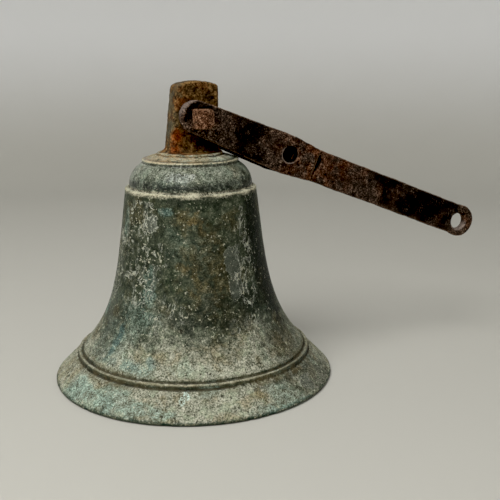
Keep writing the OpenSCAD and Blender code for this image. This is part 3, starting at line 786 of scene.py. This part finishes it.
def iron_material(name, *stops):
    """Rusted forged iron: dark scale, brown grains and pale dust on what stands out, with painted light on faces
    that point up and on the eye's wall, and painted shade in the lever's gaps.
    """
    p = Paint(name)
    bulge = p.mask("bulge")
    grain, mottle = p.noise(1.1, 4, 0.72), p.noise(3.6, 5, 0.7, 0.4, shift=2.0)
    blot = p.noise(11, 3, 0.6, 0.5, shift=6.0)
    value = p.calc("ADD", mottle, p.swing(grain, 1.5))
    # Painted light: lighter where faces point up
    value = p.calc("ADD", value, p.calc("MULTIPLY", p.mask("top"), 0.10))
    colour = p.ramp(value, *stops)
    red = p.ramp(
        value, (0.34, tone(20, 9, 5)), (0.5, tone(62, 31, 16)), (0.64, tone(102, 59, 33)),
        (0.80, tone(154, 112, 80)))
    colour = p.lay(colour, red, p.mask("red"), p.rise(blot, 0.36, 0.58), 0.85)
    scaly = p.rise(p.calc("ADD", blot, p.swing(grain, 0.9)), 0.58, 0.80, 1.0, 0.0)
    colour = p.lay(colour, SCALE_BLACK, p.mask("scale"), scaly, 0.94)
    colour = p.lay(colour, PIT_BLACK, p.rise(bulge, -0.5, -0.05, 1.0, 0.0), 0.85)
    colour = p.lay(colour, IRON_EDGE, p.rise(bulge, 0.18, 0.7), p.rise(grain, 0.35, 0.6), 0.55)
    # Bare iron where worn, and the painted highlight on the eye's wall
    shine = p.both(p.mask("worn"), p.rise(grain, 0.32, 0.56))
    colour = p.lay(colour, BARE_IRON_AND_HIGHLIGHT, shine, 0.9)
    # Painted shade in the lever's gaps, holes and seam
    colour = p.lay(colour, PAINTED_SHADE_BLACK, p.mask("soot"), 0.95)
    rough = p.calc("SUBTRACT", p.rise(grain, 0.3, 0.7, 0.6, 0.95), p.calc("MULTIPLY", shine, 0.3))
    p.bump((grain, 0.4), (mottle, 0.9))
    return p.finish(colour, rough, p.calc("MULTIPLY", shine, 0.3), CRUST_SPECULAR)


# Stage

# The photograph's viewpoint in metres, and its heading, pitch and roll in degrees
CAMERA_AT = (-0.1990, -0.6125, 0.2547)
CAMERA_TURN = (22.18, 13.38, -0.30)
SENSOR_MM = 36
LENS_MM = 58.38
# The floor: radius of its flat part, radius of its curve and height of its wall in metres, and the
# sides that its round is made of
FLOOR_FLAT = 0.95
FLOOR_CURVE = 0.5
FLOOR_WALL = 2.0
FLOOR_SIDES = 96
# Lights by name, place, width in metres and power in watts, and the point that they all face
LIGHTS = [
    ("overhead", (-0.58, -0.50, 1.28), 1.0, 20),
    ("left_fill", (-0.9, -1.1, 0.6), 0.6, 1.6),
]
LIGHT_AIM = (0, 0, 0.12)
SKY_COLOUR = (0.95, 0.96, 1.0, 1)
SKY_STRENGTH = 0.13
# Level that shows as black, which takes away the haze of the soft light
BLACK_LEVEL = 0.009


def floor_material():
    """A warm pale grey that grows paler up the curved wall, as painted light where the lamps reach it weakly."""
    p = Paint("pale_floor")
    height = p.add("ShaderNodeSeparateXYZ")
    p.feed(height.inputs["Vector"], p.here)
    uneven = p.calc("ADD", height.outputs["Z"], p.swing(p.noise(90, 2, 0.5), 0.02))
    # Painted light: the wall grows paler upwards, standing in for light that the lamps leave weak up there
    paler = p.rise(uneven, 0.02, 0.34)
    colour = p.mix(paler, tone(189, 187, 178), tone(228, 228, 226))
    p.bump((p.noise(1.5, 2), 0.02))
    return p.finish(colour, 0.75, 0.0, 0.2)


def make_floor():
    """A flat round floor that curves up all round, so that no view of the object shows an end."""
    arc = [
        (FLOOR_FLAT + FLOOR_CURVE * math.sin(a), FLOOR_CURVE - FLOOR_CURVE * math.cos(a))
        for a in np.linspace(0, math.pi / 2, 17)]
    profile = [(FLOOR_FLAT / 2, 0)] + arc + [(FLOOR_FLAT + FLOOR_CURVE, FLOOR_WALL)]
    spots = [(0, 0, 0)]
    for turn in range(FLOOR_SIDES):
        a = 2 * math.pi * turn / FLOOR_SIDES
        spots += [(r * math.cos(a), r * math.sin(a), z) for r, z in profile]
    size = len(profile)
    faces = []
    for turn in range(FLOOR_SIDES):
        here, there = 1 + turn * size, 1 + (turn + 1) % FLOOR_SIDES * size
        faces.append((0, here, there))
        faces += [(here + i, here + i + 1, there + i + 1, there + i) for i in range(size - 1)]
    shape = bpy.data.meshes.new("floor")
    shape.from_pydata(spots, [], faces)
    shape.polygons.foreach_set("use_smooth", [True] * len(shape.polygons))
    floor = bpy.data.objects.new("floor", shape)
    bpy.context.scene.collection.objects.link(floor)
    floor.data.materials.append(floor_material())


def make_camera():
    """The photograph's viewpoint: 254.7 mm up and 644 mm from the bell's axis."""
    heading, pitch, roll = (math.radians(angle) for angle in CAMERA_TURN)
    ahead = math.cos(pitch)
    forward = Vector((math.sin(heading) * ahead, math.cos(heading) * ahead, -math.sin(pitch)))
    level = Vector((math.cos(heading), -math.sin(heading), 0))
    rise = level.cross(forward)
    right = math.cos(roll) * level + math.sin(roll) * rise
    up = math.cos(roll) * rise - math.sin(roll) * level
    data = bpy.data.cameras.new("camera")
    data.sensor_width = SENSOR_MM
    data.lens = LENS_MM
    camera = bpy.data.objects.new("camera", data)
    turned = Matrix((right, up, -forward)).transposed().to_4x4()
    camera.matrix_world = Matrix.Translation(CAMERA_AT) @ turned
    bpy.context.scene.collection.objects.link(camera)
    bpy.context.scene.camera = camera


def area_light(name, at, size, power):
    data = bpy.data.lights.new(name, "AREA")
    data.size = size
    data.energy = power
    lamp = bpy.data.objects.new(name, data)
    lamp.location = at
    lamp.rotation_euler = (Vector(LIGHT_AIM) - Vector(at)).to_track_quat("-Z", "Y").to_euler()
    bpy.context.scene.collection.objects.link(lamp)


def make_lights():
    """A large soft light overhead, to the left and front, with weak fills from the left and the sky."""
    world = bpy.data.worlds.new("studio")
    world.use_nodes = True
    sky = world.node_tree.nodes["Background"]
    sky.inputs["Color"].default_value = SKY_COLOUR
    sky.inputs["Strength"].default_value = SKY_STRENGTH
    bpy.context.scene.world = world
    for light in LIGHTS:
        area_light(*light)
    view = bpy.context.scene.view_settings
    view.view_transform = "Standard"
    view.use_curve_mapping = True
    view.curve_mapping.black_level = (BLACK_LEVEL, BLACK_LEVEL, BLACK_LEVEL)


# Pieces

def dress(name, node, body, material, wear, voxel, passes, shape=None):
    """Replaces a CAD node by its fine worn copy, painted and riding on the node's body.

    The voxel is the new mesh's spacing in millimetres, and the passes are those that round it.
    """
    piece = even_copy(name, node, voxel * MM)
    mesh = piece.data
    co = relax(points_of(mesh), edges_of(mesh), passes)
    if shape is not None:
        co = shape(co)
    place(mesh, co)
    normals = normals_of(mesh)
    height, masks = wear(co, normals)
    co = co + normals * height[:, None]
    low, high = (np.array(corner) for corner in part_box(node))
    place(mesh, np.clip(co, low, high))
    keep_mask(mesh, "bulge", bulge_of(mesh))
    for mask, values in masks.items():
        keep_mask(mesh, mask, values)
    mesh.polygons.foreach_set("use_smooth", np.ones(len(mesh.polygons), bool))
    mesh.materials.clear()
    mesh.materials.append(material)
    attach(piece, body)
    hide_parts(node)


make_camera()
make_floor()
make_lights()

bronze = BronzePaint().make()
lever_iron = iron_material(
    "lever_iron", (0.34, tone(14, 12, 11)), (0.46, tone(35, 29, 25)), (0.56, tone(60, 47, 38)),
    (0.66, tone(102, 81, 66)), (0.82, tone(172, 148, 128)))
bolt_iron = iron_material(
    "bolt_iron", (0.30, tone(22, 11, 7)), (0.42, tone(58, 34, 22)), (0.52, tone(100, 66, 45)),
    (0.62, tone(138, 100, 75)), (0.80, tone(196, 162, 134)))
clapper_iron = iron_material(
    "clapper_iron", (0.32, tone(20, 16, 14)), (0.46, tone(58, 42, 33)), (0.58, tone(92, 68, 52)),
    (0.70, tone(132, 106, 86)))

dress("bronze_bell", "bell_casting", "bell", bronze, wear_bell, 0.72, 2)
dress("forged_bar", "lever_bar", "lever", lever_iron, wear_lever, 0.5, 4)
dress("forged_front_tine", "front_tine", "lever", lever_iron, wear_lever, 0.45, 4)
dress("square_bolt", "pivot_bolt", "bell", bolt_iron, wear_iron, 0.32, 4, shape_bolt)
dress("rusted_nut", "square_nut", "bell", bolt_iron, wear_iron, 0.35, 4, shape_nut)
dress("rusted_washer", "nut_washer", "bell", bolt_iron, wear_iron, 0.35, 3)
dress("front_packing", "front_spacer", "bell", bolt_iron, wear_iron, 0.35, 3)
dress("rear_packing", "rear_spacer", "bell", bolt_iron, wear_iron, 0.35, 3)
dress("iron_staple", "crown_staple", "bell", clapper_iron, wear_iron, 0.5, 4)
dress("forged_shank", "clapper_shank", "clapper", clapper_iron, wear_clapper, 0.5, 4)
dress("iron_ball", "clapper_ball", "clapper", clapper_iron, wear_clapper, 0.6, 4)
